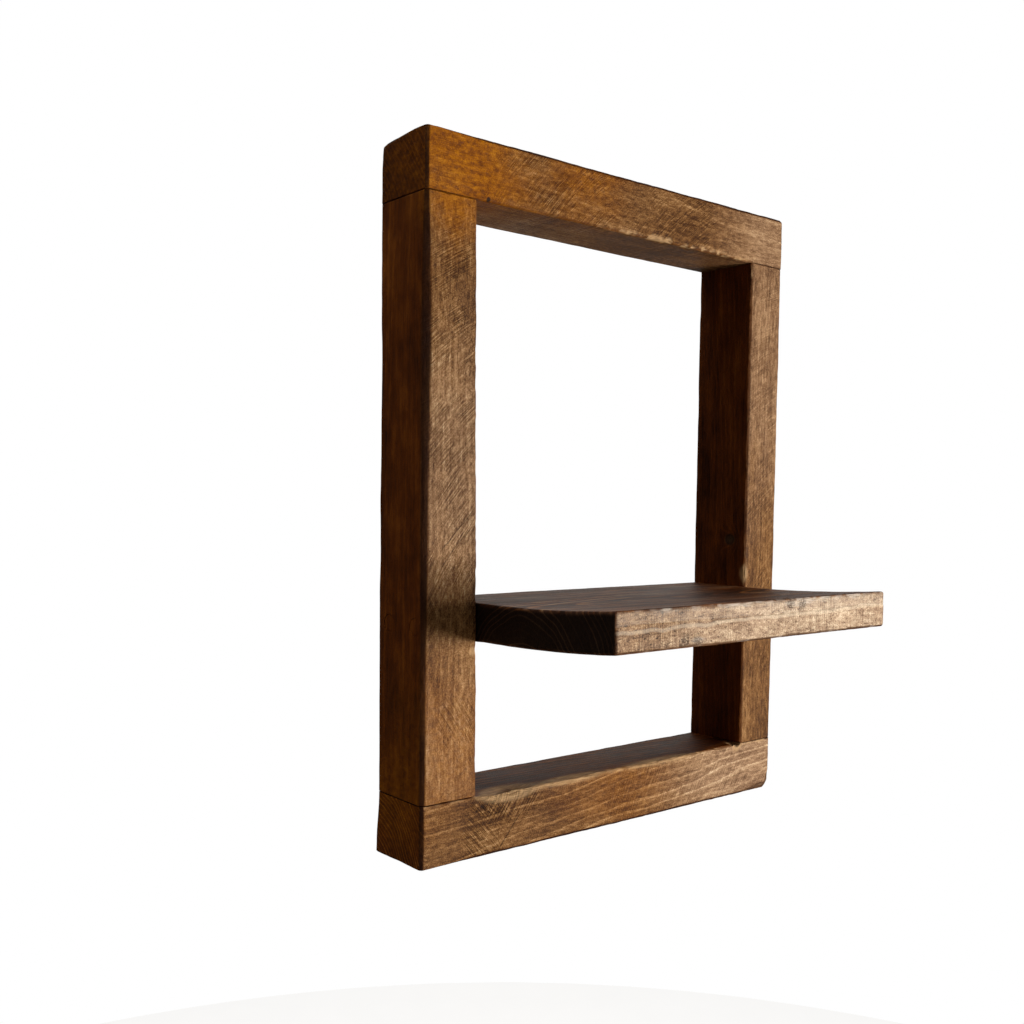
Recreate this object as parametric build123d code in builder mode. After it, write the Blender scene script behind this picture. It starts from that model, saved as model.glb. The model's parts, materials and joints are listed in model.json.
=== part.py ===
"""Rustic wall frame: four rough-sawn timbers round an opening, with a shelf board that stands out in front.

Millimetres. +X is to the right seen from the room, +Y goes into the wall and +Z is up.
The origin is midway between the entry holes of the two keyhole plates, on the wall plane, so the back of
the frame lies on Y = 0 and its front on Y = -FRAME_DEPTH.
"""
from build123d import *
import os

# ---- frame timbers
FRAME_WIDTH = 302.0
FRAME_HEIGHT = 400.0
FRAME_DEPTH = 46.0
TOP_RAIL_HEIGHT = 34.0
BOTTOM_RAIL_HEIGHT = 36.0
LEFT_STILE_FOOT = 38.5      # the left stile is sawn with a slight taper, narrower at its head
LEFT_STILE_HEAD = 34.5
RIGHT_STILE_WIDTH = 33.5
CORNER_ARRIS = 2.5          # chamfers: the four corners of the frame's outline
FRONT_ARRIS = 2.2           # round the front of the outline
BACK_ARRIS = 3.5            # round the back of the outline
WINDOW_ARRIS = 1.6          # rounding round the front of the opening

# ---- shelf board, cupped upwards towards its front edge
SHELF_THICKNESS = 22.0
SHELF_REACH = 155.0         # from the wall to the front edge
SHELF_FLAT = 55.0           # the flat stretch, measured from the wall
SHELF_RISE = 5.0            # how far the cup lifts the front edge
SHELF_TOP_HEIGHT = 145.5    # flat top above the frame's underside
SHELF_ARRIS = 2.0
SHELF_CORNER = 3.5          # rounding of the two front corners, in plan

# ---- keyhole hangers
HANGER_HEIGHT = 330.0       # entry holes above the frame's underside
HANGER_SPACING = 266.0
PLATE_LENGTH = 41.0
PLATE_WIDTH = 16.0
PLATE_THICKNESS = 2.0
PLATE_CORNER = 3.0
PLATE_LIFT = 4.0            # plate centre above the entry hole
ENTRY_RADIUS = 4.75
SLOT_WIDTH = 4.6
SLOT_RISE = 10.0            # entry centre to the centre of the slot's closed end
POCKET_WIDTH = 12.0
POCKET_DEPTH = 10.0         # room for a screw head behind the plate
PLATE_SCREW_OFFSET = 15.5   # plate centre to each of its screws
PLATE_HOLE_RADIUS = 1.7
PLATE_SINK_RADIUS = 3.4

# ---- fasteners: (length, thread diameter, head diameter)
FRAME_SCREW = (60.0, 4.5, 8.6)
PLATE_SCREW = (12.0, 3.0, 6.0)
PLUG_DIAMETER = 10.0
PLUG_DEPTH = 8.0
CORNER_SCREW_DEPTHS = (18.0, 35.0)   # from the wall, clear of the hanger pockets
SHELF_SCREW_DEPTHS = (13.0, 38.0)
SHELF_SCREW_HEIGHT = 133.5           # above the frame's underside

# ---- places that follow from the dimensions
LEFT = -FRAME_WIDTH / 2
RIGHT = FRAME_WIDTH / 2
BOTTOM = -HANGER_HEIGHT
TOP = BOTTOM + FRAME_HEIGHT
WINDOW_LEFT_FOOT = LEFT + LEFT_STILE_FOOT
WINDOW_LEFT_HEAD = LEFT + LEFT_STILE_HEAD
WINDOW_RIGHT = RIGHT - RIGHT_STILE_WIDTH
WINDOW_BOTTOM = BOTTOM + BOTTOM_RAIL_HEIGHT
WINDOW_TOP = TOP - TOP_RAIL_HEIGHT
MID_DEPTH = -FRAME_DEPTH / 2
SHELF_TOP = BOTTOM + SHELF_TOP_HEIGHT
SHELF_UNDER = SHELF_TOP - SHELF_THICKNESS
# the shelf's ends are cut square, so its left end touches the tapered stile at the shelf's underside
TAPER = (LEFT_STILE_FOOT - LEFT_STILE_HEAD) / (WINDOW_TOP - WINDOW_BOTTOM)
SHELF_LEFT = WINDOW_LEFT_FOOT - TAPER * (SHELF_UNDER - WINDOW_BOTTOM)
SIDES = {"left": -1, "right": 1}
STILE_CENTRE = {"left": LEFT + LEFT_STILE_HEAD / 2, "right": RIGHT - RIGHT_STILE_WIDTH / 2}
WINDOW_CORNERS = [
    (WINDOW_LEFT_FOOT, WINDOW_BOTTOM),
    (WINDOW_RIGHT, WINDOW_BOTTOM),
    (WINDOW_RIGHT, WINDOW_TOP),
    (WINDOW_LEFT_HEAD, WINDOW_TOP),
]

os.makedirs("parts", exist_ok=True)


def write(builder, name):
    """Label a finished piece and write it as its own STEP file."""
    builder.part.label = name
    export_step(builder.part, f"parts/{name}.step")


# ---------------------------------------------------------------- fasteners
def screw_blank(length, thread, head):
    """A countersunk screw's outer shape: the head's top at the origin, the point down at -Z."""
    rim = 0.05 * head
    sink = rim + (head - thread) / 2
    with BuildPart() as blank:
        with BuildSketch(Plane.XZ):
            with BuildLine():
                Polyline(
                    (0, 0),
                    (head / 2, 0),
                    (head / 2, -rim),
                    (thread / 2, -sink),
                    (thread / 2, -(length - 1.5 * thread)),
                    (0, -length),
                    close=True,
                )
            make_face()
        revolve(axis=Axis.Z)
    return blank.part


def wood_screw(length, thread, head):
    """The screw itself: a plain shank, a thread of V rings down to the point, and a cross recess."""
    pitch = 0.5 * thread
    root = 0.34 * thread
    rim = 0.05 * head
    sink = rim + (head - thread) / 2
    point = length - 1.5 * thread
    outline = [(0, 0), (head / 2, 0), (head / 2, -rim), (thread / 2, -sink)]
    depth = max(sink, 0.3 * length)
    outline.append((thread / 2, -depth))
    while depth + pitch < point:
        outline.append((root, -(depth + pitch / 2)))
        depth += pitch
        outline.append((thread / 2, -depth))
    outline.append((0, -length))
    with BuildPart() as screw:
        with BuildSketch(Plane.XZ):
            with BuildLine():
                Polyline(*outline, close=True)
            make_face()
        revolve(axis=Axis.Z)
        with BuildSketch():
            Rectangle(0.52 * head, 0.13 * head)
            Rectangle(0.13 * head, 0.52 * head)
        extrude(amount=-0.25 * head, taper=12, mode=Mode.SUBTRACT)
    return screw.part


def corner_places(side, end):
    """Where a corner's two screws start: planes on the rail's outer face, their Z pointing out of it."""
    level = TOP if end == "top" else BOTTOM
    outward = (0, 0, 1) if end == "top" else (0, 0, -1)
    return [
        Plane(origin=(STILE_CENTRE[side], -depth, level), x_dir=(1, 0, 0), z_dir=outward)
        for depth in CORNER_SCREW_DEPTHS
    ]


def shelf_places(side):
    """Where a stile's two shelf screws start: planes on the stile's outer face."""
    return [
        Plane(
            origin=(SIDES[side] * FRAME_WIDTH / 2, -depth, BOTTOM + SHELF_SCREW_HEIGHT),
            x_dir=(0, 1, 0),
            z_dir=(SIDES[side], 0, 0),
        )
        for depth in SHELF_SCREW_DEPTHS
    ]


def hanger_places(side):
    """Where a hanger plate's two screws start: planes on the wall plane, facing the wall."""
    x = SIDES[side] * HANGER_SPACING / 2
    return [
        Plane(origin=(x, 0, PLATE_LIFT + offset), x_dir=(1, 0, 0), z_dir=(0, 1, 0))
        for offset in (-PLATE_SCREW_OFFSET, PLATE_SCREW_OFFSET)
    ]


def under_plugs(places):
    """The same planes, sunk to the bottom of the plug holes, where the screw heads sit."""
    return [place.offset(-PLUG_DEPTH) for place in places]


FRAME_SCREW_BLANK = screw_blank(*FRAME_SCREW)
PLATE_SCREW_BLANK = screw_blank(*PLATE_SCREW)
FRAME_SCREW_SHAPE = wood_screw(*FRAME_SCREW)
PLATE_SCREW_SHAPE = wood_screw(*PLATE_SCREW)

CORNERS = [(side, end) for end in ("top", "bottom") for side in SIDES]

for side, end in CORNERS:
    with BuildPart() as corner_screws:
        with Locations(*under_plugs(corner_places(side, end))):
            add(FRAME_SCREW_SHAPE)
    write(corner_screws, f"corner_screws_{end}_{side}")

    with BuildPart() as corner_plugs:
        with Locations(*under_plugs(corner_places(side, end))):
            Cylinder(PLUG_DIAMETER / 2, PLUG_DEPTH, align=(Align.CENTER, Align.CENTER, Align.MIN))
    write(corner_plugs, f"corner_plugs_{end}_{side}")

for side in SIDES:
    with BuildPart() as shelf_screws:
        with Locations(*under_plugs(shelf_places(side))):
            add(FRAME_SCREW_SHAPE)
    write(shelf_screws, f"shelf_screws_{side}")

    with BuildPart() as shelf_plugs:
        with Locations(*under_plugs(shelf_places(side))):
            Cylinder(PLUG_DIAMETER / 2, PLUG_DEPTH, align=(Align.CENTER, Align.CENTER, Align.MIN))
    write(shelf_plugs, f"shelf_plugs_{side}")

    with BuildPart() as hanger_screws:
        with Locations(*hanger_places(side)):
            add(PLATE_SCREW_SHAPE)
    write(hanger_screws, f"hanger_screws_{side}")


# ---------------------------------------------------------------- hanger plates
def keyhole(extra=0.0):
    """The keyhole's outline about its entry hole, grown by extra all round (drawn inside a sketch)."""
    Circle(ENTRY_RADIUS + extra)
    with Locations((0, SLOT_RISE / 2)):
        Rectangle(SLOT_WIDTH + 2 * extra, SLOT_RISE)
    with Locations((0, SLOT_RISE)):
        Circle(SLOT_WIDTH / 2 + extra)


for side in SIDES:
    # seen from the room, so local X and Y are the frame's X and Z, and the extrusion comes forwards
    entry = Plane(origin=(SIDES[side] * HANGER_SPACING / 2, 0, 0), x_dir=(1, 0, 0), z_dir=(0, -1, 0))
    with BuildPart() as hanger_plate:
        with BuildSketch(entry) as plate_outline:
            with Locations((0, PLATE_LIFT)):
                RectangleRounded(PLATE_WIDTH, PLATE_LENGTH, PLATE_CORNER)
        extrude(amount=PLATE_THICKNESS)
        with BuildSketch(entry) as keyhole_outline:
            keyhole()
        extrude(amount=PLATE_THICKNESS, mode=Mode.SUBTRACT)
        with Locations(*hanger_places(side)):
            CounterSinkHole(PLATE_HOLE_RADIUS, PLATE_SINK_RADIUS, counter_sink_angle=90)
    write(hanger_plate, f"hanger_plate_{side}")


# ---------------------------------------------------------------- shelf board
with BuildPart() as shelf_board:
    with BuildSketch(Plane.YZ.offset(SHELF_LEFT)) as shelf_section:
        with BuildLine():
            Line((0, SHELF_TOP), (-SHELF_FLAT, SHELF_TOP))
            TangentArc((-SHELF_FLAT, SHELF_TOP), (-SHELF_REACH, SHELF_TOP + SHELF_RISE), tangent=(-1, 0))
            Line((-SHELF_REACH, SHELF_TOP + SHELF_RISE), (-SHELF_REACH, SHELF_UNDER + SHELF_RISE))
            TangentArc((-SHELF_FLAT, SHELF_UNDER), (-SHELF_REACH, SHELF_UNDER + SHELF_RISE), tangent=(-1, 0))
            Line((-SHELF_FLAT, SHELF_UNDER), (0, SHELF_UNDER))
            Line((0, SHELF_UNDER), (0, SHELF_TOP))
        make_face()
    extrude(amount=WINDOW_RIGHT - SHELF_LEFT)
    fillet(shelf_board.edges().filter_by(Axis.Z).group_by(Axis.Y)[0], SHELF_CORNER)
    fillet(shelf_board.faces().sort_by(Axis.Y)[0].edges().filter_by(Axis.X), SHELF_ARRIS)
    for side in SIDES:
        with Locations(*under_plugs(shelf_places(side))):
            add(FRAME_SCREW_BLANK, mode=Mode.SUBTRACT)
write(shelf_board, "shelf_board")


# ---------------------------------------------------------------- frame timbers
# The four timbers are butted and screwed, then the whole frame's edges are eased together, so the chamfers
# run on across the joint lines. The eased frame is made once and each timber is taken out of it.
with BuildPart() as eased_frame:
    with BuildSketch(Plane.XZ) as frame_outline:
        with Locations((0, (TOP + BOTTOM) / 2)):
            Rectangle(FRAME_WIDTH, FRAME_HEIGHT)
    extrude(amount=FRAME_DEPTH)
    chamfer(eased_frame.edges().filter_by(Axis.Y), CORNER_ARRIS)
    chamfer(eased_frame.faces().sort_by(Axis.Y)[0].edges(), FRONT_ARRIS)
    chamfer(eased_frame.faces().sort_by(Axis.Y)[-1].edges(), BACK_ARRIS)
    with BuildSketch(Plane.XZ) as window_outline:
        Polygon(*WINDOW_CORNERS, align=None)
    extrude(amount=FRAME_DEPTH, mode=Mode.SUBTRACT)
    front_face = eased_frame.faces().filter_by(Axis.Y).sort_by(Axis.Y)[0]
    fillet(front_face.inner_wires()[0].edges(), WINDOW_ARRIS)

RAIL_SPANS = {"top": (WINDOW_TOP, TOP), "bottom": (BOTTOM, WINDOW_BOTTOM)}
STILE_SPANS = {"left": (LEFT, WINDOW_LEFT_FOOT), "right": (WINDOW_RIGHT, RIGHT)}

for end, (low, high) in RAIL_SPANS.items():
    with BuildPart() as rail:
        add(eased_frame.part)
        with Locations((0, MID_DEPTH, (low + high) / 2)):
            Box(FRAME_WIDTH, FRAME_DEPTH, high - low, mode=Mode.INTERSECT)
        for side in SIDES:
            with Locations(*corner_places(side, end)):
                Hole(PLUG_DIAMETER / 2, PLUG_DEPTH)
            with Locations(*under_plugs(corner_places(side, end))):
                add(FRAME_SCREW_BLANK, mode=Mode.SUBTRACT)
    write(rail, f"{end}_rail")

for side, (low, high) in STILE_SPANS.items():
    back = Plane(origin=(SIDES[side] * HANGER_SPACING / 2, 0, 0), x_dir=(1, 0, 0), z_dir=(0, -1, 0))
    with BuildPart() as stile:
        add(eased_frame.part)
        with Locations(((low + high) / 2, MID_DEPTH, (WINDOW_BOTTOM + WINDOW_TOP) / 2)):
            Box(high - low, FRAME_DEPTH, WINDOW_TOP - WINDOW_BOTTOM, mode=Mode.INTERSECT)
        with BuildSketch(back) as plate_recess:
            with Locations((0, PLATE_LIFT)):
                RectangleRounded(PLATE_WIDTH, PLATE_LENGTH, PLATE_CORNER)
        extrude(amount=PLATE_THICKNESS, mode=Mode.SUBTRACT)
        with BuildSketch(back.offset(PLATE_THICKNESS)) as head_pocket:
            with Locations((0, SLOT_RISE / 2)):
                SlotCenterToCenter(SLOT_RISE, POCKET_WIDTH, rotation=90)
        extrude(amount=POCKET_DEPTH, mode=Mode.SUBTRACT)
        for end in RAIL_SPANS:
            with Locations(*under_plugs(corner_places(side, end))):
                add(FRAME_SCREW_BLANK, mode=Mode.SUBTRACT)
        with Locations(*shelf_places(side)):
            Hole(PLUG_DIAMETER / 2, PLUG_DEPTH)
        with Locations(*under_plugs(shelf_places(side))):
            add(FRAME_SCREW_BLANK, mode=Mode.SUBTRACT)
        with Locations(*hanger_places(side)):
            add(PLATE_SCREW_BLANK, mode=Mode.SUBTRACT)
    write(stile, f"{side}_stile")
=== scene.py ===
"""Looks for a rustic wall frame with a shelf: rough-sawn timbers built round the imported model, in metres.

Shapes are worked out in millimetres with numpy and written to the meshes in metres. +Y goes into the wall.
"""
import json
import math

import bmesh
import bpy
import numpy as np
from mathutils import Matrix, Vector


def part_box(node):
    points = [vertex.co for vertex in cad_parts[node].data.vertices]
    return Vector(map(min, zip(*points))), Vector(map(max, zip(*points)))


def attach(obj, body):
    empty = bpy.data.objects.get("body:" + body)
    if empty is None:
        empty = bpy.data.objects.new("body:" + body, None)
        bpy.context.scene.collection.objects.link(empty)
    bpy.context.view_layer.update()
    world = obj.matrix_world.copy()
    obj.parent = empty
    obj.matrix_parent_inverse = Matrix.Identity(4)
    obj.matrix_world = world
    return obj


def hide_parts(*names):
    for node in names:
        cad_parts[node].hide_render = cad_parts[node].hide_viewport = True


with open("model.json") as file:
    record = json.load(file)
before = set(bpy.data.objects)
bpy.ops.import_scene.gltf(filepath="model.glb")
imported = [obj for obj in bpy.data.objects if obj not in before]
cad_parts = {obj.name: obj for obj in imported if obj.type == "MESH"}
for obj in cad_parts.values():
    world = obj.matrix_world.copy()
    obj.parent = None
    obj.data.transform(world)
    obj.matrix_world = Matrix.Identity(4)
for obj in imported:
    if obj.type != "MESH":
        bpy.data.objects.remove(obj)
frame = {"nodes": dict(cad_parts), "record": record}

MM = 0.001
DEG = math.pi / 180
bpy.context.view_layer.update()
BODY = frame["record"]["physics"].get("root_body", "root")


def box_mm(node):
    """A node's lowest and highest corners, in millimetres."""
    lo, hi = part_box(node)
    return np.array(lo) * 1000, np.array(hi) * 1000


RAILS = {"top": box_mm("top_rail"), "bottom": box_mm("bottom_rail")}
STILES = {"left": box_mm("left_stile"), "right": box_mm("right_stile")}
SHELF = box_mm("shelf_board")
FRONT = RAILS["top"][0][1]
WINDOW_TOP = RAILS["top"][0][2]
WINDOW_BOTTOM = RAILS["bottom"][1][2]
WINDOW_LEFT = STILES["left"][1][0]
WINDOW_RIGHT = STILES["right"][0][0]
LEFT = RAILS["top"][0][0]
RIGHT = RAILS["top"][1][0]
TOP = RAILS["top"][1][2]
BOTTOM = RAILS["bottom"][0][2]

LEFT_STILE_TAPER = 4.0      # how much narrower the left stile is at its head
SHELF_THICKNESS = 22.0
SHELF_FLAT = 55.0           # flat stretch of the shelf, from the wall
SHELF_RISE = 5.0            # how far the cup lifts its front edge
SHELF_TOP = SHELF[0][2] + SHELF_THICKNESS
JOINT_EASE = 0.35           # the small arris where two timbers meet


# ---------------------------------------- numbers
NOISE_CELLS = 32            # how many cells the noise has before it repeats


def smoothstep(x, lo, hi):
    """0 below lo, 1 above hi, with a smooth rise between."""
    t = np.clip((x - lo) / (hi - lo), 0, 1)
    return t * t * (3 - 2 * t)


def noise(p, size, seed):
    """Smooth noise from -1 to 1 at points p, with features about size mm across (one number or three)."""
    table = np.random.default_rng(seed).uniform(-1, 1, (NOISE_CELLS,) * 3)
    q = p / np.asarray(size, float)
    cell = np.floor(q).astype(int)
    t = q - cell
    t = t * t * (3 - 2 * t)
    total = np.zeros(len(p))
    for corner in np.ndindex(2, 2, 2):
        i = (cell + corner) % NOISE_CELLS
        weight = np.prod(np.where(corner, t, 1 - t), axis=1)
        total += weight * table[i[:, 0], i[:, 1], i[:, 2]]
    return total


# ---------------------------------------- meshes
# the grid lines near each end of a side: their distances from that end
EDGE_LINES = np.array([0, 0.25, 0.5, 0.8, 1.1, 1.5, 2.0, 2.6, 3.3, 4.2, 5.4])


def grid_lines(lo, hi, step):
    """Grid positions along one side of a timber, close together near its two ends."""
    inner = np.linspace(lo + EDGE_LINES[-1], hi - EDGE_LINES[-1], int((hi - lo) / step))
    return np.concatenate([lo + EDGE_LINES[:-1], inner, (hi - EDGE_LINES[:-1])[::-1]])


def box_surface(lo, hi, steps):
    """Points and outward-facing quads of a box's surface, gridded along all three sides."""
    lines = [grid_lines(lo[a], hi[a], steps[a]) for a in range(3)]
    shape = tuple(len(line) for line in lines)
    index = np.indices(shape)
    last = np.array(shape)[:, None, None, None] - 1
    on_surface = ((index == 0) | (index == last)).any(axis=0)
    ids = np.full(shape, -1)
    ids[on_surface] = np.arange(on_surface.sum())
    points = np.stack([lines[a][index[a][on_surface]] for a in range(3)], axis=1)
    sides = [(ids[0], True), (ids[-1], False), (ids[:, 0], False), (ids[:, -1], True)]
    sides += [(ids[:, :, 0], True), (ids[:, :, -1], False)]
    quads = []
    for grid, flip in sides:
        quad = [grid[:-1, :-1], grid[1:, :-1], grid[1:, 1:], grid[:-1, 1:]]
        if flip:
            quad.reverse()
        quads.append(np.stack([q.ravel() for q in quad], axis=1))
    return points, np.concatenate(quads)


def ease(points, lo, hi, radii, power):
    """Wear a box's edges away: radii along each axis, power 1 for a flat chamfer and 2 for a round.

    Returns the moved points, their outward normals, and how far each is inside an arris, from 0 to 1.
    """
    core = np.clip(points, lo + radii, hi - radii)
    d = (points - core) / radii
    size = np.abs(d)
    length = (size**power).sum(axis=1) ** (1 / power)
    moved = core + radii * d / length[:, None]
    normal = np.sign(d) * (size / length[:, None]) ** (power - 1) / radii
    normal[size < 1e-6] = 0
    normal /= np.linalg.norm(normal, axis=1)[:, None]
    arris = smoothstep(np.sort(size, axis=1)[:, 1], 0.02, 0.3)
    return moved, normal, arris


def mesh_from(bm, name):
    """A mesh made from a bmesh, which is used up."""
    mesh = bpy.data.meshes.new(name)
    bm.to_mesh(mesh)
    bm.free()
    return mesh


def add_object(name, data):
    """A new object in the scene."""
    obj = bpy.data.objects.new(name, data)
    bpy.context.collection.objects.link(obj)
    return obj


def write_mesh(name, points, faces, paint):
    """A mesh object from points in mm, with one float attribute for each entry of paint."""
    mesh = bpy.data.meshes.new(name)
    mesh.vertices.add(len(points))
    mesh.vertices.foreach_set("co", (points * MM).ravel())
    mesh.loops.add(faces.size)
    mesh.loops.foreach_set("vertex_index", faces.ravel())
    mesh.polygons.add(len(faces))
    mesh.polygons.foreach_set("loop_start", np.arange(len(faces)) * faces.shape[1])
    mesh.polygons.foreach_set("use_smooth", np.full(len(faces), True))
    for key, values in paint.items():
        mesh.attributes.new(key, "FLOAT", "POINT").data.foreach_set("value", values.astype(np.float32))
    mesh.update()
    mesh.validate()
    return add_object(name, mesh)


def lathe(profile, origin, direction, segments):
    """A closed solid of revolution: profile is (depth, radius) from origin along direction, in mm."""
    bm = bmesh.new()
    turn = Vector((0, 0, 1)).rotation_difference(Vector(direction)).to_matrix()
    rings = []
    for depth, radius in profile:
        ring = []
        for k in range(segments):
            angle = 2 * math.pi * k / segments
            local = Vector((radius * math.cos(angle), radius * math.sin(angle), depth))
            ring.append(bm.verts.new((Vector(origin) + turn @ local) * MM))
        rings.append(ring)
    for low, high in zip(rings, rings[1:]):
        for k in range(segments):
            n = (k + 1) % segments
            bm.faces.new((low[k], low[n], high[n], high[k]))
    bm.faces.new(rings[0][::-1])
    bm.faces.new(rings[-1])
    return bm


def prism(outline, y_low, y_high):
    """A closed prism with an outline in X and Z, from y_low to y_high, in mm."""
    bm = bmesh.new()
    near = [bm.verts.new(Vector((x, y_low, z)) * MM) for x, z in outline]
    far = [bm.verts.new(Vector((x, y_high, z)) * MM) for x, z in outline]
    for k in range(len(outline)):
        n = (k + 1) % len(outline)
        bm.faces.new((near[k], near[n], far[n], far[k]))
    bm.faces.new(near[::-1])
    bm.faces.new(far)
    bmesh.ops.recalc_face_normals(bm, faces=bm.faces)
    return bm


def rounded_outline(x, z, half_width, half_height, radius, steps=8):
    """The outline of a rectangle with rounded corners, about a centre."""
    points = []
    for k, (sx, sz) in enumerate(((1, 1), (-1, 1), (-1, -1), (1, -1))):
        cx = x + sx * (half_width - radius)
        cz = z + sz * (half_height - radius)
        for s in range(steps + 1):
            angle = math.pi / 2 * (k + s / steps)
            points.append((cx + radius * math.cos(angle), cz + radius * math.sin(angle)))
    return points


def carve(obj, cutters):
    """Cut each cutter's bmesh out of a piece, for good."""
    for cutter in cutters:
        mesh = mesh_from(cutter, "cutter")
        tool = add_object("cutter", mesh)
        cut = obj.modifiers.new("cut", "BOOLEAN")
        cut.operation = "DIFFERENCE"
        cut.solver = "MANIFOLD"
        cut.object = tool
        bpy.context.view_layer.update()
        graph = bpy.context.evaluated_depsgraph_get()
        carved = bpy.data.meshes.new_from_object(obj.evaluated_get(graph), depsgraph=graph)
        obj.modifiers.remove(cut)
        old = obj.data
        obj.data = carved
        bpy.data.meshes.remove(old)
        bpy.data.objects.remove(tool)
        bpy.data.meshes.remove(mesh)


# ---------------------------------------- timbers
TIMBER_STEP = 0.95          # grid spacing on the faces
SHELF_STEP = 1.12
WINDOW_ARRIS = 1.5          # arris legs: round the window at the front and back, then outside
WINDOW_BACK_ARRIS = 0.8
FRONT_ARRIS = 2.3
BACK_ARRIS = 3.5
END_ARRIS = 2.4
CUT_CORNER = 5.5            # the bottom rail's right foot is cut off by this much
SHELF_ARRIS = (1.5, 1.7, 2.4)  # the shelf's front, underside and top
SHELF_BUTT_ARRIS = 0.4      # and between the uprights
INNER_EDGE_SHADE = 0.25           # how strong the painted shade on the arrises round the window is, beside the outer ones
SHARP_EDGE = 48.0           # creases sharper than this many degrees stay crisp


def edge_distance(points, x=None, y=None, z=None):
    """How far points are from the line that the given coordinates fix."""
    total = np.zeros(len(points))
    for axis, value in enumerate((x, y, z)):
        if value is not None:
            total += (points[:, axis] - value) ** 2
    return np.sqrt(total)


def halves(points, lo, hi, axis, low_value, high_value):
    """low_value over a box's lower half along an axis, high_value over its upper half."""
    return np.where(points[:, axis] < (lo[axis] + hi[axis]) / 2, low_value, high_value)


def ragged(points, axis, stops, reach, seed, **line):
    """Wear along an edge line: stops are (place along axis, depth), broken up into splinters."""
    places, depths = zip(*stops)
    depth = np.interp(points[:, axis], places, depths)
    broken = np.clip(0.25 + 0.9 * noise(points, 7, seed) + 0.5 * noise(points, 2.6, seed + 1), 0, 1.3)
    near = np.exp(-((edge_distance(points, **line) / reach) ** 2))
    return depth * broken * near


def dent(points, centre, radius, depth):
    """A smooth hollow at a centre: radius is one number or one for each axis."""
    away = (points - np.array(centre)) / np.array(radius, float)
    return depth * np.exp(-(away**2).sum(axis=1))


def seated(points, normal, name):
    """True where a timber sits against its neighbour, and so is neither worn nor uneven."""
    if name == "shelf_board":
        return (np.abs(normal[:, 0]) > 0.5) & (points[:, 1] > FRONT)
    level = np.abs(normal[:, 2]) > 0.5
    if name.endswith("stile"):
        return level
    at_stile = (points[:, 0] < WINDOW_LEFT) | (points[:, 0] > WINDOW_RIGHT)
    if name == "top_rail":
        return level & at_stile & (points[:, 2] < WINDOW_TOP + 1)
    return level & at_stile & (points[:, 2] > WINDOW_BOTTOM - 1)


def timber(name, lo, hi, step, radii, power, seed, wear, dark, reshape=None, pale_under=0.0):
    """A sawn timber: a gridded box with worn edges, uneven faces and hollows, with wear, light and shade
    painted on it.

    The paint marks the front (and, by pale_under, the underside, which so takes the front's lighter colours
    as painted light from below), the ends, the arrises' painted shade and bare wood.
    """
    points, quads = box_surface(lo, hi, (step,) * 3)
    moved, normal, arris = ease(points, lo, hi, radii(points), power)
    uneven = 0.10 * (1 + noise(moved, 34, seed)) + 0.05 * (1 + noise(moved, 8, seed + 1))
    rough = 0.02 * (1 + noise(moved, 2.2, seed + 2))
    worn = wear(moved)
    loss = np.where(seated(moved, normal, name), 0.0, uneven + rough + worn)
    moved -= normal * loss[:, None]
    if reshape:
        moved = reshape(moved)
    along = int(np.argmax(hi - lo))
    paint = {
        # front: the front faces; pale_under adds the underside, painting light from below on it
        "front": np.clip(-normal[:, 1], 0, 1) ** 3 + pale_under * np.clip(-normal[:, 2], 0, 1) ** 3,
        "end": np.abs(normal[:, along]) ** 4,
        # arris: how much painted shade darkens each arris
        "arris": arris * dark(points),
        "worn": smoothstep(worn, 0.12, 0.7),
    }
    return write_mesh("sawn_" + name, moved, quads, paint)


def stile_radii(side, front_stops):
    """A stile's edge wear: its outer arrises, then the opening's, and crisp ends at the joints."""
    lo, hi = STILES[side]

    def radii(points):
        wander = 1 + 0.16 * noise(points, 26, 40) + 0.04 * noise(points, 6, 41)
        heights, legs = zip(*front_stops)
        front = np.interp(points[:, 2], heights, legs)
        outer = halves(points, lo, hi, 1, front, BACK_ARRIS) * wander
        inner = halves(points, lo, hi, 1, WINDOW_ARRIS, WINDOW_BACK_ARRIS)
        inner = inner * (1 + 0.35 * noise(points, 9, 42))
        pair = (outer, inner) if side == "left" else (inner, outer)
        edge = halves(points, lo, hi, 0, *pair)
        return np.stack([edge, edge, np.full(len(points), JOINT_EASE)], axis=1)

    return radii


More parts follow.
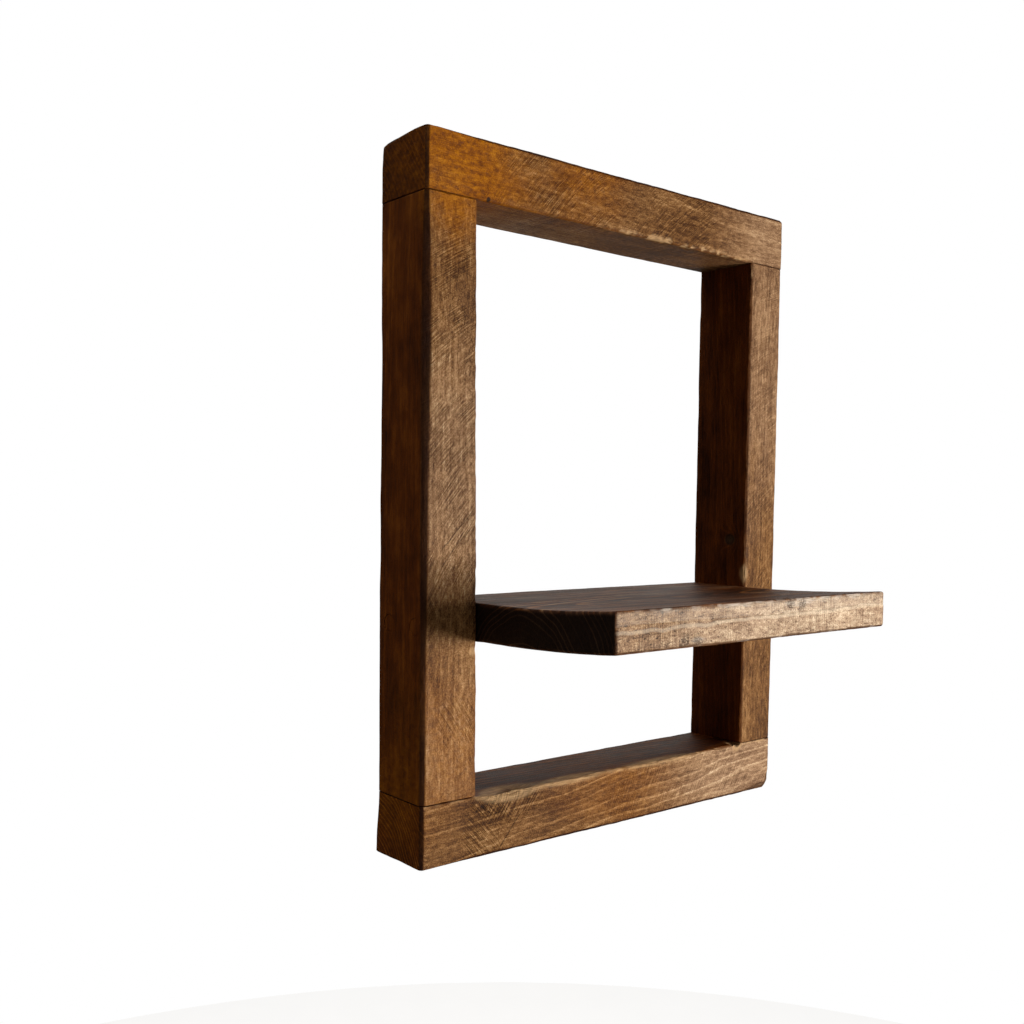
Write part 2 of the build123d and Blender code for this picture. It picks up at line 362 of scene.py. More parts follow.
def rail_radii(end, cut_corner=0.0):
    """A rail's edge wear: outer arrises all round, the window's between the stiles, crisp at the joints.

    The left end is crisper at the front, and cut_corner takes off the lower right corner.
    """
    lo, hi = RAILS[end]

    def radii(points):
        x, z = points[:, 0], points[:, 2]
        wander = 1 + 0.2 * noise(points, 26, 50) + 0.06 * noise(points, 6, 51)
        at_left = 1 - smoothstep(x, LEFT + 8, LEFT + 45)
        at_front = 1 - smoothstep(points[:, 1], lo[1] + 10, hi[1] - 10)
        crisp = 1 - 0.65 * at_left * at_front
        back = BACK_ARRIS
        if end == "bottom":
            back = back * (1 - 0.6 * at_left * (1 - smoothstep(z, BOTTOM + 8, WINDOW_BOTTOM)))
        outer = (FRONT_ARRIS + (back - FRONT_ARRIS) * (1 - at_front)) * wander
        between = smoothstep(x, WINDOW_LEFT - 4, WINDOW_LEFT)
        between = between * (1 - smoothstep(x, WINDOW_RIGHT, WINDOW_RIGHT + 2))
        opening = halves(points, lo, hi, 1, WINDOW_ARRIS, WINDOW_BACK_ARRIS)
        opening = opening * (1 + 0.4 * noise(points, 8, 52))
        inner = JOINT_EASE + (opening - JOINT_EASE) * between
        legs, window_side = ((inner, outer * crisp), (1, 0))
        if end == "bottom":
            legs, window_side = legs[::-1], (0, 1)
        along_z = halves(points, lo, hi, 2, *legs)
        from_end = np.minimum(x - lo[0], hi[0] - x)
        inner_side = halves(points, lo, hi, 2, *window_side)
        along_y = outer + (along_z - outer) * smoothstep(from_end, 3, 7) * inner_side
        along_x = np.where(x < 0, outer, END_ARRIS * wander)
        if cut_corner:
            corner = smoothstep(x, hi[0] - 30, hi[0] - 8) * (1 - smoothstep(z, lo[2] + 7, lo[2] + 14))
            along_x = along_x + (cut_corner - along_x) * corner
            along_z = along_z + (cut_corner - along_z) * corner * (z < (lo[2] + hi[2]) / 2)
        return np.stack([along_x, along_y, along_z], axis=1)

    return radii


def shelf_radii(points):
    """The shelf's edge wear: rounded front corners and a worn, wandering front edge."""
    lo, hi = SHELF_BLANK
    front_leg, under_leg, top_leg = SHELF_ARRIS
    front = halves(points, lo, hi, 1, front_leg, 0.5)
    wander = 1 + 0.3 * noise(points, 14, 60) + 0.15 * noise(points, 4, 61)
    level = halves(points, lo, hi, 2, under_leg, top_leg) * wander
    free = 1 - smoothstep(points[:, 1], FRONT - 4, FRONT)
    side = SHELF_BUTT_ARRIS + 1.3 * free
    level = SHELF_BUTT_ARRIS + (level - SHELF_BUTT_ARRIS) * (0.35 + 0.65 * free)
    return np.stack([side, front * wander, level], axis=1)


def edge_shade_outside(lo, hi, end=None, side=None):
    """How much painted shade an arris gets: all on the outside of the frame, a little round the opening."""

    def weight(points):
        if side:
            pair = (1.0, INNER_EDGE_SHADE) if side == "left" else (INNER_EDGE_SHADE, 1.0)
            return halves(points, lo, hi, 0, *pair)
        x = points[:, 0]
        over_window = (x > WINDOW_LEFT - 4) & (x < WINDOW_RIGHT + 2)
        inner = np.where(over_window, INNER_EDGE_SHADE, 1.0)
        pair = (inner, np.ones(len(x))) if end == "top" else (np.ones(len(x)), inner)
        return halves(points, lo, hi, 2, *pair)

    return weight


def top_rail_wear(p):
    """Broken wood along the window's head, worst right of the middle, and softer wear elsewhere."""
    stops = ((WINDOW_LEFT, 0.3), (-20, 0.5), (10, 1.9), (90, 2.4), (WINDOW_RIGHT, 0.5), (RIGHT, 0))
    opening = ragged(p, 0, stops, 2.6, 11, y=FRONT, z=WINDOW_TOP)
    top = ragged(p, 0, ((LEFT, 0.3), (RIGHT, 0.5)), 2.0, 12, y=FRONT, z=TOP)
    corner = dent(p, (LEFT, 0, TOP), 6, 0.7)
    knot = dent(p, (WINDOW_LEFT + 6, FRONT, WINDOW_TOP + 5), (4, 2, 3), 0.1)
    rubbed = ragged(p, 2, ((WINDOW_TOP, 0.1), (TOP - 3, 0.2)), 1.1, 22, x=LEFT + 3.2, y=FRONT)
    return opening + top + corner + knot + rubbed


def bottom_rail_wear(p):
    """Worn front edges, a notch beside the right stile, and wane along the window's sill."""
    front = ragged(p, 0, ((WINDOW_LEFT, 0.5), (WINDOW_RIGHT, 0.6)), 2.4, 13, y=FRONT, z=WINDOW_BOTTOM)
    under = ragged(p, 0, ((LEFT, 0.3), (RIGHT, 0.6)), 2.0, 14, y=FRONT, z=BOTTOM)
    notch = dent(p, (WINDOW_RIGHT - 3, FRONT, WINDOW_BOTTOM), (3.2, 7, 3.4), 3.2)
    wane = dent(p, (WINDOW_LEFT + 24, FRONT, WINDOW_BOTTOM), (15, 9, 4.5), 3.0)
    wane += dent(p, (WINDOW_LEFT + 72, FRONT, WINDOW_BOTTOM), (24, 6, 3), 1.6)
    wane += dent(p, (WINDOW_LEFT + 150, FRONT, WINDOW_BOTTOM), (30, 6, 3), 1.2)
    return front + under + notch + wane


def left_stile_wear(p):
    """Worn front edges and a chip under the shelf."""
    opening = ragged(p, 2, ((WINDOW_BOTTOM, 0.3), (SHELF_TOP, 0.6), (WINDOW_TOP, 0.45)), 2.2, 15,
                     x=WINDOW_LEFT, y=FRONT)
    outside = ragged(p, 2, ((WINDOW_BOTTOM, 0.25), (WINDOW_TOP, 0.4)), 1.8, 16, x=LEFT, y=FRONT)
    chip = dent(p, (WINDOW_LEFT - 3, FRONT, SHELF[0][2] - 5), (2.2, 4, 2.2), 1.3)
    return opening + outside + chip


def right_stile_wear(p):
    """Worn front edges, a chip above the shelf and a sunken knot on the inner face."""
    opening = ragged(p, 2, ((WINDOW_BOTTOM, 0.3), (WINDOW_TOP, 0.5)), 2.0, 17, x=WINDOW_RIGHT, y=FRONT)
    outside = ragged(p, 2, ((WINDOW_BOTTOM, 0.3), (WINDOW_TOP, 0.4)), 1.8, 18, x=RIGHT, y=FRONT)
    chip = dent(p, (WINDOW_RIGHT, FRONT, SHELF_TOP + 9), (3, 4, 5), 1.4)
    knot = dent(p, (WINDOW_RIGHT, FRONT + 14, SHELF_TOP + 32), (2, 5, 4), 0.5)
    return opening + outside + chip + knot


SHELF_BLANK = (SHELF[0], np.array([SHELF[1][0], SHELF[1][1], SHELF_TOP]))
SHELF_FRONT = SHELF[0][1]
TEAR_X = -54.0              # torn grain low on the shelf's front
SPLIT_X = 30.0              # a short split along its top edge
STEP_HEIGHT = 13.5          # a shallow step that runs along the front, above its lower edge
STEP_DEPTH = 0.30
RIDGE = 0.45                # a low ridge down the front of the left stile


def shelf_wear(p):
    """A ragged front, with a long step along it, torn grain low down and a split along the top."""
    top = ragged(p, 0, ((SHELF[0][0], 0.5), (0, 0.7), (60, 1.3), (SHELF[1][0], 0.8)), 2.2, 19,
                 y=SHELF_FRONT, z=SHELF_TOP)
    under = ragged(p, 0, ((SHELF[0][0], 0.4), (SHELF[1][0], 0.5)), 1.6, 20, y=SHELF_FRONT, z=SHELF[0][2])
    front = 1 - smoothstep(p[:, 1], SHELF_FRONT, SHELF_FRONT + 1.5)
    step_height = SHELF[0][2] + STEP_HEIGHT + 0.7 * noise(p, 30, 21)
    step = STEP_DEPTH * front * smoothstep(p[:, 2], step_height - 0.2, step_height + 0.7)
    tears = dent(p, (TEAR_X, SHELF_FRONT, SHELF[0][2] + 4), (6, 2, 1.6), 0.7)
    tears += dent(p, (SPLIT_X, SHELF_FRONT, SHELF_TOP - 3), (9, 2, 1.1), 0.8)
    return top + under + step + tears


def shelf_edge_shade(p):
    """How much painted shade the shelf's arrises get: mostly along the underside of its front."""
    at_front = p[:, 1] < SHELF_FRONT + 6
    low = p[:, 2] < SHELF[0][2] + SHELF_THICKNESS / 2
    return np.where(at_front & low, 0.7, np.where(at_front, 0.1, 0.5))


def taper(p):
    """Narrow the left stile towards its head from its inner side, and ridge its front."""
    front = 1 - smoothstep(p[:, 1], FRONT, FRONT + 4)
    p[:, 1] += RIDGE * front * smoothstep(p[:, 0] + 1.5 * noise(p, 60, 31), LEFT + 9, LEFT + 15)
    lo, hi = STILES["left"]
    up = (p[:, 2] - lo[2]) / (hi[2] - lo[2])
    p[:, 0] = LEFT + (p[:, 0] - LEFT) * (1 - up * LEFT_STILE_TAPER / (hi[0] - lo[0]))
    return p


def cup(p):
    """Lift the shelf's outer part along the arc that its cup follows."""
    reach = -SHELF[0][1] - SHELF_FLAT
    arc = (reach**2 + SHELF_RISE**2) / (2 * SHELF_RISE)
    out = np.clip(-p[:, 1] - SHELF_FLAT, 0, None)
    p[:, 2] += arc - np.sqrt(arc**2 - out**2)
    return p


# ---------------------------------------- holes and plugs
PLUG_RADIUS = 5.0
PLUG_DEPTH = 8.0
PLUG_GAP = 0.08             # a plug is this much slimmer than its hole
PLUG_SHARP_EDGE = 50.0
SIDES = ("left", "right")
PLATE_CORNER = 3.0
POCKET_HALF = (6.0, 11.0)   # half width, which is also its corner radius, and half height
POCKET_MIDDLE = 5.0         # its height over the hanging point
POCKET_DEPTH = 12.0
SCREW_HOLE = ((0, 1.5), (11.0, 1.2))  # (depth, radius)
SCREW_HEAD_RADIUS = 3.0
CUT_OVERLAP = 0.5           # how far one cutter reaches into another


def plug_places(node):
    """The outer ends of a node's two plugs, and the direction that they face, in mm."""
    lo, hi = box_mm(node)
    middle = (lo + hi) / 2
    along = int(np.argmin(hi - lo))
    outward = np.zeros(3)
    outward[along] = np.sign(middle[along] - (BOTTOM + TOP) / 2 * (along == 2))
    face = np.where(outward > 0, hi, lo)
    places = []
    for y in (lo[1] + PLUG_RADIUS, hi[1] - PLUG_RADIUS):
        place = middle.copy()
        place[1] = y
        place[along] = face[along]
        places.append(place)
    return places, outward


def plug_holes(node):
    """Cutters for the two holes that a node's plugs fill."""
    places, outward = plug_places(node)
    profile = ((-1.0, PLUG_RADIUS), (PLUG_DEPTH, PLUG_RADIUS))
    return [lathe(profile, place, -outward, 48) for place in places]


def plugs(node, material):
    """A pair of wooden plugs, pushed in just under the surface, sanded nearly flush and a little domed."""
    places, outward = plug_places(node)
    # (depth, radius), from a plug's foot to the middle of its face
    profile = (
        (PLUG_DEPTH - 0.1, PLUG_RADIUS - 0.5),
        (PLUG_DEPTH - 0.7, PLUG_RADIUS - PLUG_GAP),
        (0.62, PLUG_RADIUS - PLUG_GAP),
        (0.42, PLUG_RADIUS - 0.22),
        (0.34, PLUG_RADIUS - 0.6),
        (0.30, PLUG_RADIUS * 0.5),
        (0.28, PLUG_RADIUS * 0.1),
    )
    joined = bmesh.new()
    for place in places:
        single = lathe(profile, place, -outward, 48)
        bmesh.ops.reverse_faces(single, faces=single.faces)
        mesh = mesh_from(single, "plug")
        joined.from_mesh(mesh)
        bpy.data.meshes.remove(mesh)
    bmesh.ops.recalc_face_normals(joined, faces=joined.faces)
    name = node.replace("_plugs", "") + "_plug_pair"
    mesh = mesh_from(joined, name)
    mesh.polygons.foreach_set("use_smooth", np.full(len(mesh.polygons), True))
    mesh.set_sharp_from_angle(angle=PLUG_SHARP_EDGE * DEG)
    dress(add_object(name, mesh), material, "wood_plug", node)


def hanger_recess(side):
    """Cutters for a keyhole plate's recess, the pocket behind it and its two screw holes."""
    lo, hi = box_mm(f"hanger_plate_{side}")
    x, z = (lo[0] + hi[0]) / 2, (lo[2] + hi[2]) / 2
    half_width, half_height = (hi[0] - lo[0]) / 2, (hi[2] - lo[2]) / 2
    depth = hi[1] - lo[1]
    plate = prism(rounded_outline(x, z, half_width, half_height, PLATE_CORNER), -depth, 1.0)
    pocket_outline = rounded_outline(x, POCKET_MIDDLE, *POCKET_HALF, POCKET_HALF[0])
    pocket = prism(pocket_outline, -POCKET_DEPTH, -depth + CUT_OVERLAP)
    screws_lo, screws_hi = box_mm(f"hanger_screws_{side}")
    holes = [
        lathe(SCREW_HOLE, (x, -depth + CUT_OVERLAP, height), (0, -1, 0), 24)
        for height in (screws_lo[2] + SCREW_HEAD_RADIUS, screws_hi[2] - SCREW_HEAD_RADIUS)
    ]
    return [plate, pocket, *holes]


# ---------------------------------------- materials
def rgb(red, green, blue):
    """A screen colour, 0 to 255, as the linear colour that shaders use."""
    channels = np.array((red, green, blue)) / 255
    linear = np.where(channels < 0.04045, channels / 12.92, ((channels + 0.055) / 1.055) ** 2.4)
    return (*map(float, linear), 1.0)


class Nodes:
    """One material's node tree. Inputs may be numbers, vectors, colours or other nodes' sockets."""

    def __init__(self, name):
        self.material = bpy.data.materials.new(name)
        self.material.use_nodes = True
        self.tree = self.material.node_tree
        self.tree.nodes.clear()
        self.draws = 0
        place = self.add("TexCoord").outputs["Object"]
        self.place = self.vector("SCALE", place, Scale=1000.0)

    def add(self, kind, inputs=None, **settings):
        node = self.tree.nodes.new("ShaderNode" + kind)
        for key, value in settings.items():
            setattr(node, key, value)
        for key, value in (inputs or {}).items():
            if isinstance(value, bpy.types.NodeSocket):
                self.tree.links.new(value, node.inputs[key])
            else:
                node.inputs[key].default_value = value
        return node

    def math(self, operation, a, b=0.0, c=0.0):
        return self.add("Math", {0: a, 1: b, 2: c}, operation=operation).outputs[0]

    def product(self, result, *factors):
        for factor in factors:
            result = self.math("MULTIPLY", result, factor)
        return result

    def total(self, *terms, start=0.0):
        """start plus the sum of (socket, weight, middle) terms, each weight * (socket - middle)."""
        result = start
        for value, weight, middle in terms:
            result = self.math("MULTIPLY_ADD", value, weight, self.math("ADD", result, -weight * middle))
        return result

    def vector(self, operation, a, b=(0, 0, 0), c=(0, 0, 0), **inputs):
        sockets = {0: a, 1: b, **inputs}
        if operation == "MULTIPLY_ADD":
            sockets[2] = c
        node = self.add("VectorMath", sockets, operation=operation)
        return node.outputs["Value" if operation in ("LENGTH", "DISTANCE", "DOT_PRODUCT") else "Vector"]

    def remap(self, value, low, high, to_low=0.0, to_high=1.0, smooth=True):
        kind = "SMOOTHSTEP" if smooth else "LINEAR"
        sockets = {"Value": value, "From Min": low, "From Max": high, "To Min": to_low, "To Max": to_high}
        return self.add("MapRange", sockets, interpolation_type=kind).outputs[0]

    def field(self, place, size, detail=2.0, roughness=0.5, seed=0.0):
        """Noise from 0 to 1 with features about size mm across (one number or three)."""
        sizes = (size,) * 3 if isinstance(size, (int, float)) else size
        self.draws += 1
        shift = (self.draws * 7.31 + seed, self.draws * 3.17 - seed, self.draws * 5.53 + 2 * seed)
        spot = self.vector("MULTIPLY_ADD", place, tuple(1 / s for s in sizes), shift)
        sockets = {"Vector": spot, "Scale": 1.0, "Detail": detail, "Roughness": roughness}
        return self.remap(self.add("TexNoise", sockets).outputs["Fac"], 0.27, 0.73, smooth=False)

    def ramp(self, value, *stops):
        """A colour that follows value through stops of (place, colour)."""
        node = self.add("ValToRGB", {"Fac": value})
        elements = node.color_ramp.elements
        while len(elements) < len(stops):
            elements.new(0.5)
        for element, (place, colour) in zip(elements, stops):
            element.position = place
            element.color = colour
        return node.outputs["Color"]

    def mix(self, factor, a, b):
        """From colour a to colour b."""
        node = self.add("Mix", data_type="RGBA", clamp_factor=True)
        for socket, value in ((node.inputs[0], factor), (node.inputs[6], a), (node.inputs[7], b)):
            if isinstance(value, bpy.types.NodeSocket):
                self.tree.links.new(value, socket)
            else:
                socket.default_value = value
        return node.outputs[2]

    def painted(self, name):
        """A value painted on the mesh."""
        return self.add("Attribute", attribute_name=name, attribute_type="GEOMETRY").outputs["Fac"]

    def bump(self, height, depth_mm):
        return self.add("Bump", {"Height": height, "Distance": depth_mm * MM}).outputs["Normal"]

    def finish(self, **inputs):
        """The finished material: a Principled shader with these inputs, where _ stands for a space."""
        sockets = {key.replace("_", " "): value for key, value in inputs.items()}
        self.add("OutputMaterial", {"Surface": self.add("BsdfPrincipled", sockets).outputs[0]})
        return self.material


TONES = (0.0, 0.3, 0.5, 0.72, 1.0)


def tones(*colours):
    """A ramp's stops, for five screen colours from dark to light."""
    return [(place, rgb(*colour)) for place, colour in zip(TONES, colours)]


STAIN = tones((24, 10, 2), (72, 42, 16), (118, 80, 42), (164, 125, 82), (222, 192, 150))
AMBER = tones((50, 20, 0), (106, 54, 0), (148, 86, 0), (186, 120, 8), (222, 166, 60))
SIDE_STAIN = tones((12, 3, 0), (58, 24, 3), (106, 52, 8), (150, 86, 24), (200, 134, 60))
# greys for the pale patches: mostly painted sheen and painted light, with some weathering on the shelf's
# front
SHEEN_AND_WEATHERING = tones((34, 20, 12), (88, 64, 48), (134, 106, 84), (182, 154, 126), (236, 216, 188))
# painted shade along the arrises
EDGE_SHADE = rgb(34, 11, 4)
BARE_WOOD = rgb(198, 162, 118)
BARE_SHELF = rgb(216, 204, 190)
BURNT_EARLY = rgb(16, 5, 3)
BURNT_LATE = rgb(50, 34, 25)
# the dark of each knot, also painted shade in the bottom rail's notch
KNOT_AND_NOTCH_SHADE = rgb(24, 10, 5)
TORN_DARK = rgb(66, 40, 24)
CRACK_DARK = rgb(24, 9, 3)
LIP_LIGHT = rgb(240, 224, 200)


class Wood(Nodes):
    """A timber's node tree, with the solid fields that its colour and relief are made from."""

    def __init__(self, name, grain, pith, pitch, knots_and_notch_shade, seed):
        super().__init__(name)
        self.seed = seed
        self.xyz = self.add("SeparateXYZ", {0: self.place}).outputs
        self.axes = [self.xyz[axis] for axis in ("YZX" if grain == "X" else "XYZ")]
        self.grained = self.add("CombineXYZ", dict(enumerate(self.axes))).outputs[0]
        self.front = self.painted("front")
        self.end = self.painted("end")
        self.late = self.rings(pith, pitch, knots_and_notch_shade)
        self.blotch = self.noise((24, 24, 60), 3.0, 0.55)
        self.streak = self.noise((3.2, 3.2, 60), 3.0, 0.6)
        self.fibre = self.noise((0.55, 0.55, 9), 3.0, 0.65)
        self.grit = self.noise(0.8, 2.0, 0.75, self.place)
        self.mottle = self.noise((2.2, 2.2, 5), 2.0, 0.6)

    def noise(self, size, detail=2.0, roughness=0.5, place=None):
        """Noise along the grain, or in the coordinates of place."""
        place = self.grained if place is None else place
        return self.field(place, size, detail, roughness, seed=self.seed)

    def patch(self, centre, radius, outer, inner, strength=1.0, ragged=0.0):
        """strength within inner * radius of a centre, falling to 0 at outer * radius."""
        away = self.vector("DISTANCE", self.place, centre)
        if ragged:
            away = self.math("MULTIPLY_ADD", self.blotch, ragged * radius, away)
        return self.remap(away, outer * radius, inner * radius, 0.0, strength)

    def patches(self, places, outer, inner, ragged=0.0):
        """The strongest patch at each point, for places of (centre, radius, strength)."""
        strongest = 0.0
        for centre, radius, strength in places:
            patch = self.patch(centre, radius, outer, inner, strength, ragged)
            strongest = self.math("MAXIMUM", strongest, patch)
        return strongest

    def rings(self, pith, pitch, knots_and_notch_shade):
        """How much latewood there is: rings round the pith, which wander and bend round each knot and the
        shaded notch.
        """
        across, down, drift_across, drift_down = pith
        u, v, w = self.axes
        from_u = self.math("SUBTRACT", self.math("MULTIPLY_ADD", w, -drift_across, u), across)
        from_v = self.math("SUBTRACT", self.math("MULTIPLY_ADD", w, -drift_down, v), down)
        distance = self.vector("LENGTH", self.add("CombineXYZ", {0: from_u, 1: from_v}).outputs[0])
        wander = self.total(
            (distance, 1.0, 0.0),
            (self.noise((40, 40, 150), 1.0), 5.0, 0.5),
            (self.noise((12, 12, 60), 1.0), 1.0, 0.5),
            (self.noise((1.5, 1.5, 12), 1.0), 0.3, 0.5),
        )
        for centre, radius, strength in knots_and_notch_shade:
            wander = self.math("MULTIPLY_ADD", self.patch(centre, radius, 2.6, 0.2), 6.0 * strength, wander)
        count = self.math("DIVIDE", wander, pitch)
        ring = self.math("FRACT", count)
        number = self.add("CombineXYZ", {0: self.math("FLOOR", count)}).outputs[0]
        year = self.noise(0.7, 0.0, place=number)
        late = (self.remap(ring, 0.55, 0.9), self.remap(ring, 1.0, 0.94))
        return self.product(*late, self.remap(year, 0.0, 1.0, 0.35, 1.0))

    def slanted(self, degrees, centre):
        """Distances across and along a line on the front, from a centre."""
        angle = degrees * DEG
        x = self.math("SUBTRACT", self.xyz["X"], centre[0])
        z = self.math("SUBTRACT", self.xyz["Z"], centre[2])
        along = self.math("MULTIPLY_ADD", x, math.cos(angle), self.math("MULTIPLY", z, math.sin(angle)))
        across = self.math("MULTIPLY_ADD", x, -math.sin(angle), self.math("MULTIPLY", z, math.cos(angle)))
        return across, along

    def saw_marks(self, degrees, spacing, centre, radius):
        """Gently curved blade marks on the front, from -0.5 to 0.5, that come and go round a centre."""
        across, along = self.slanted(degrees, centre)
        across = self.math("MULTIPLY_ADD", self.math("MULTIPLY", along, along), 1 / 500, across)
        blade = self.add("CombineXYZ", {0: across, 1: along}).outputs[0]
        cut = self.remap(self.noise((0.36 * spacing, 14, 9), 1.0, 0.6, blade), 0.15, 0.85)
        near = self.patch(centre, radius, 1.35, 0.75, ragged=0.5)
        patchy = self.remap(self.noise(18, place=self.place), 0.2, 0.7, 0.25, 1.0)
        return self.product(near, patchy, self.front, self.math("SUBTRACT", cut, 0.5))

    def hairline(self, centre, degrees, half_length, half_width):
        """A wavering line on the front, from 0 to 1."""
        across, along = self.slanted(degrees, centre)
        waver = self.noise((16, 16, 40), 1.0, place=self.place)
        across = self.total((across, 1.0, 0.0), (waver, 1.8, 0.5))
        side = self.remap(self.math("ABSOLUTE", across), half_width, 0.3 * half_width)
        reach = self.remap(self.math("ABSOLUTE", along), half_length, 0.6 * half_length)
        return self.product(side, reach, self.front)


def wood(name, grain, pith, pitch, seed, tone=0.0, front_tone=0.0, end_tone=0.0, smoke_tone=0.16,
         ring_light=0.16, end_rings=0.0, bands=0.1, band_size=6, sheen_streaks=0.0, rough=1.0, front_grain=1.0,
         amber=(), pale=(), saw=(), knots_and_notch_shade=(), cracks=(), lips=(), tears=(), specks=0.0,
         end_dark=0.0, bare=BARE_WOOD, sheen=0.02):
    """Stained softwood. The rings run round a pith that drifts along the grain.

    pith: (across, across, drift, drift), in mm and mm per mm; pitch: the rings' spacing in mm.
    tone, front_tone, end_tone: lighten it all, the front or the sawn ends; smoke_tone: how cloudy the
    stain is off the front; ring_light, end_rings: how light the latewood is, and how much more at the ends.
    bands, band_size: the strength and the width in mm of the broad stretches of grain; dust: how grey the
    bands are off the front, a painted sheen in streaks; rough: how gritty the front is; front_grain: how
    much grain shows on it.
    amber, pale, knots: (centre, radius, strength) of golden stain, which at the left foot is a painted warm
    glow of bounced light; of grey patches, mostly painted sheen and painted light from below, over some
    weathering on the shelf's front; and of each knot, one of them being painted shade in the bottom rail's
    notch.
    saw: (degrees from level, spacing, strength, centre, radius) of blade marks on the front.
    cracks, lips: (centre, degrees from level, half length, half width) of dark lines and pale raised ones.
    tears: (centre, radius) of torn grain on the front; specks: how dark the pits in the front are.
    end_dark: how burnt the sawn ends are; bare: the colour where the stain has worn off.
    """
    n = Wood(name, grain, pith, pitch, knots_and_notch_shade, seed)
    band = n.noise((band_size, band_size, 6 * band_size), 3.0, 0.6)
    grain_tone = n.total(
        (band, bands, 0.5),
        (n.late, ring_light, 0.3),
        (n.blotch, 0.20, 0.5),
        (n.streak, 0.13, 0.5),
        (n.fibre, 0.18, 0.5),
        (n.end, end_tone, 0.0),
        (n.product(n.late, n.end), end_rings, 0.0),
    )
    grain_tone = n.product(grain_tone, n.remap(n.front, 0.0, 1.0, 1.0, front_grain, smooth=False))
    rough_tone = n.total((n.grit, 0.34 * rough, 0.5), (n.mottle, 0.24 * rough, 0.5), start=front_tone)
    tone_value = n.math("ADD", grain_tone, n.math("MULTIPLY_ADD", rough_tone, n.front, 0.46 + tone))
    cloud = n.math("SUBTRACT", n.noise((14, 14, 26), 3.0, 0.6), 0.5)
    smoke = n.remap(n.front, 0.0, 1.0, smoke_tone, 0.05, smooth=False)
    tone_value = n.math("MULTIPLY_ADD", cloud, smoke, tone_value)
    height = n.total((n.fibre, 0.5, 0.5), (n.late, 0.2, 0.5), (n.grit, 0.5, 0.5), (band, 8.0 * bands, 0.5))
    for degrees, spacing, strength, centre, radius in saw:
        mark = n.saw_marks(degrees, spacing, centre, radius)
        tone_value = n.math("MULTIPLY_ADD", mark, strength, tone_value)
        height = n.math("MULTIPLY_ADD", mark, 5.0 * strength, height)
    # pale patches: mostly painted sheen and painted light from below, over some weathering on the shelf's
    # front
    sheen_and_weathering = n.product(n.patches(pale, 1.4, 0.5, ragged=0.4), n.front)
    tone_value = n.math("MULTIPLY_ADD", sheen_and_weathering, 0.2, tone_value)
    if specks:
        pit = n.product(n.remap(n.noise((1.3, 1.3, 3.0), 2.0, 0.7), 0.72, 0.95), n.front)
        tone_value = n.math("MULTIPLY_ADD", pit, -specks, tone_value)
        height = n.math("MULTIPLY_ADD", pit, -1.0, height)

    colour = n.mix(n.front, n.ramp(tone_value, *SIDE_STAIN), n.ramp(tone_value, *STAIN))
    # grey streaks along the bands off the front: a painted sheen
    if sheen_streaks:
        painted_sheen_streaks = n.product(n.remap(band, 0.35, 0.75), n.math("SUBTRACT", 1.0, n.front), sheen_streaks)
        sheen_and_weathering = n.math("MAXIMUM", sheen_and_weathering, painted_sheen_streaks)
    colour = n.mix(sheen_and_weathering, colour, n.ramp(tone_value, *SHEEN_AND_WEATHERING))
    # golden stain, and at the left foot a painted warm glow of light bounced from below
    if amber:
        fleck = n.noise((4, 4, 3), 3.0, 0.75, n.place)
        gold_tone = n.total((tone_value, 0.62, 0.5), (fleck, 0.34, 0.5), start=0.48)
        gold = n.product(n.patches(amber, 1.5, 0.4, ragged=0.6), n.remap(fleck, 0.0, 0.4, 0.72, 1.0))
        colour = n.mix(gold, colour, n.ramp(gold_tone, *AMBER))
    if end_dark:
        burnt = n.mix(n.remap(n.late, 0.25, 0.95), BURNT_EARLY, BURNT_LATE)
        colour = n.mix(n.product(n.end, end_dark), colour, burnt)
    # painted shade along the arrises, uneven with the blotches
    edge_shade = n.product(n.painted("arris"), n.remap(n.blotch, 0.0, 1.0, 0.6, 0.97))
    colour = n.mix(edge_shade, colour, EDGE_SHADE)
    bared = n.product(n.painted("worn"), n.remap(n.fibre, 0.1, 0.9, 0.3, 0.9))
    colour = n.mix(bared, colour, bare)
    # the dark of each knot, and a patch of painted shade in the bottom rail's notch
    colour = n.mix(n.patches(knots_and_notch_shade, 1.1, 0.7), colour, KNOT_AND_NOTCH_SHADE)
    for centre, radius in tears:
        torn = n.noise((0.8, 0.8, 1.3), 3.0, 0.75)
        torn = n.remap(n.product(torn, n.patch(centre, radius, 1.0, 0.1)), 0.36, 0.56)
        torn = n.product(torn, n.front)
        colour = n.mix(n.product(torn, 0.6), colour, TORN_DARK)
        height = n.math("MULTIPLY_ADD", torn, -2.0, height)
    marks = [(line, 0.85, CRACK_DARK, -1.5) for line in cracks]
    marks += [(line, 0.26, LIP_LIGHT, 1.5) for line in lips]
    for line, strength, shade, relief in marks:
        mark = n.hairline(*line)
        colour = n.mix(n.product(mark, strength), colour, shade)
        height = n.math("MULTIPLY_ADD", mark, relief, height)
    return n.finish(
        Base_Color=colour,
        Roughness=n.total((n.fibre, 0.16, 0.5), (n.blotch, 0.12, 0.5), start=0.58),
        Specular_IOR_Level=0.10,
        Coat_Weight=sheen,
        Coat_Roughness=0.42,
        Normal=n.bump(height, 0.3),
    )


